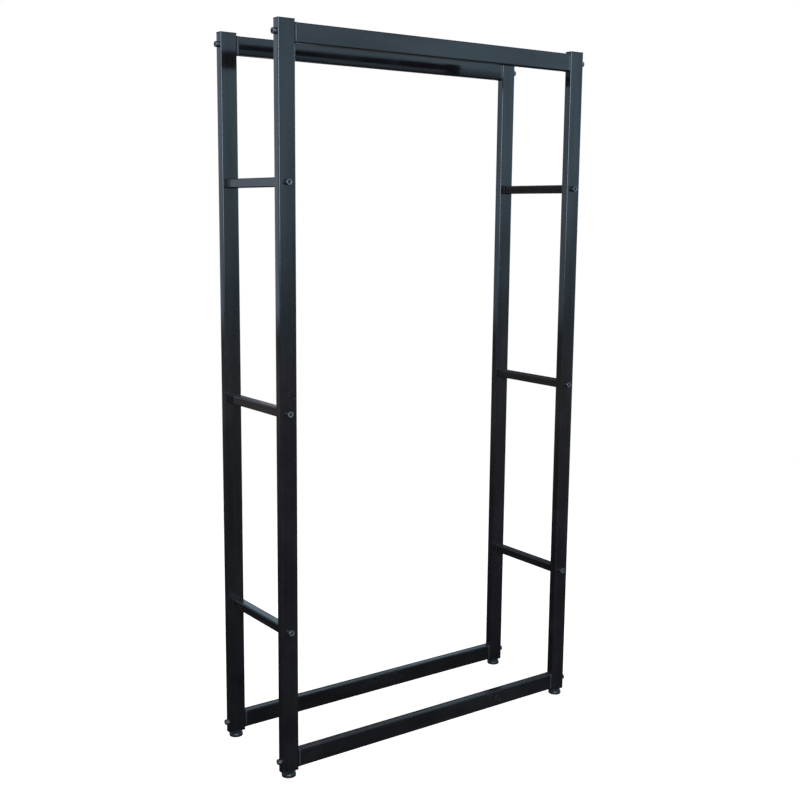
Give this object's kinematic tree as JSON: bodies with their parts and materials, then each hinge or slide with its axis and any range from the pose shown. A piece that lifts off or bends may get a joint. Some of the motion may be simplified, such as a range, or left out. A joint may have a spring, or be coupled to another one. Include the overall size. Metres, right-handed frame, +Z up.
{
  "type": "firewood rack",
  "caption": "Tall open firewood rack: a box frame of black rectangular steel tube, bolted together, with rungs across both ends and levelling feet.",
  "frame": {"origin": "on the floor under the middle of the rack, in the plane of the four foot pads", "axes": "+Z up, +X to the right along the rack's width, +Y from the front to the rear"},
  "size_m": [1.07, 0.355, 2.0205],
  "materials": {
    "powder_coated_steel": "semi-gloss black powder coat with a fine orange peel",
    "cap_plastic": "black moulded plastic with a satin face",
    "insert_plastic": "black moulded plastic",
    "pad_plastic": "black moulded plastic, smooth",
    "zinc_plated_steel": "bright zinc plating",
    "black_bolt_steel": "blackened, lightly oiled",
    "plain_steel": "bare turned steel"
  },
  "bodies": {
    "frame": {"front_bottom_rail": "powder_coated_steel", "front_bottom_rail_end_plates": "powder_coated_steel", "front_left_foot_insert": "insert_plastic", "front_left_top_cap": "cap_plastic", "front_left_upright": "powder_coated_steel", "front_right_foot_insert": "insert_plastic", "front_right_top_cap": "cap_plastic", "front_right_upright": "powder_coated_steel", "front_top_rail": "powder_coated_steel", "front_top_rail_end_plates": "powder_coated_steel", "left_lower_rung": "powder_coated_steel", "left_lower_rung_end_plates": "powder_coated_steel", "left_middle_rung": "powder_coated_steel", "left_middle_rung_end_plates": "powder_coated_steel", "left_upper_rung": "powder_coated_steel", "left_upper_rung_end_plates": "powder_coated_steel", "rail_bolts": "black_bolt_steel", "rail_threaded_bosses": "plain_steel", "rear_bottom_rail": "powder_coated_steel", "rear_bottom_rail_end_plates": "powder_coated_steel", "rear_left_foot_insert": "insert_plastic", "rear_left_top_cap": "cap_plastic", "rear_left_upright": "powder_coated_steel", "rear_right_foot_insert": "insert_plastic", "rear_right_top_cap": "cap_plastic", "rear_right_upright": "powder_coated_steel", "rear_top_rail": "powder_coated_steel", "rear_top_rail_end_plates": "powder_coated_steel", "right_lower_rung": "powder_coated_steel", "right_lower_rung_end_plates": "powder_coated_steel", "right_middle_rung": "powder_coated_steel", "right_middle_rung_end_plates": "powder_coated_steel", "right_upper_rung": "powder_coated_steel", "right_upper_rung_end_plates": "powder_coated_steel", "rung_bolts": "black_bolt_steel", "rung_threaded_bosses": "plain_steel"},
    "front_left_pad": {"front_left_foot_pad": "pad_plastic"},
    "front_left_stud": {"front_left_foot_stud": "zinc_plated_steel"},
    "front_right_pad": {"front_right_foot_pad": "pad_plastic"},
    "front_right_stud": {"front_right_foot_stud": "zinc_plated_steel"},
    "rear_left_pad": {"rear_left_foot_pad": "pad_plastic"},
    "rear_left_stud": {"rear_left_foot_stud": "zinc_plated_steel"},
    "rear_right_pad": {"rear_right_foot_pad": "pad_plastic"},
    "rear_right_stud": {"rear_right_foot_stud": "zinc_plated_steel"}
  },
  "joints": [
    {"name": "front_left_foot_height", "type": "slide", "parent": "frame", "child": "front_left_pad", "axis": [0, 0, -1], "range_m": [0, 0.015]},
    {"name": "front_left_foot_turn", "type": "hinge", "parent": "front_left_pad", "child": "front_left_stud", "pos_m": [-0.5, -0.155, 0.02], "axis": [0, 0, -1], "range_deg": [0, 3600]},
    {"name": "front_right_foot_height", "type": "slide", "parent": "frame", "child": "front_right_pad", "axis": [0, 0, -1], "range_m": [0, 0.015]},
    {"name": "front_right_foot_turn", "type": "hinge", "parent": "front_right_pad", "child": "front_right_stud", "pos_m": [0.5, -0.155, 0.02], "axis": [0, 0, -1], "range_deg": [0, 3600]},
    {"name": "rear_left_foot_height", "type": "slide", "parent": "frame", "child": "rear_left_pad", "axis": [0, 0, -1], "range_m": [0, 0.015]},
    {"name": "rear_left_foot_turn", "type": "hinge", "parent": "rear_left_pad", "child": "rear_left_stud", "pos_m": [-0.5, 0.155, 0.02], "axis": [0, 0, -1], "range_deg": [0, 3600]},
    {"name": "rear_right_foot_height", "type": "slide", "parent": "frame", "child": "rear_right_pad", "axis": [0, 0, -1], "range_m": [0, 0.015]},
    {"name": "rear_right_foot_turn", "type": "hinge", "parent": "rear_right_pad", "child": "rear_right_stud", "pos_m": [0.5, 0.155, 0.02], "axis": [0, 0, -1], "range_deg": [0, 3600]}
  ],
  "couplings": [
    {"joint": "front_left_foot_turn", "follows": "front_left_foot_height", "rad_per_m": 4188.8},
    {"joint": "front_right_foot_turn", "follows": "front_right_foot_height", "rad_per_m": 4188.8},
    {"joint": "rear_left_foot_turn", "follows": "rear_left_foot_height", "rad_per_m": 4188.8},
    {"joint": "rear_right_foot_turn", "follows": "rear_right_foot_height", "rad_per_m": 4188.8}
  ]
}
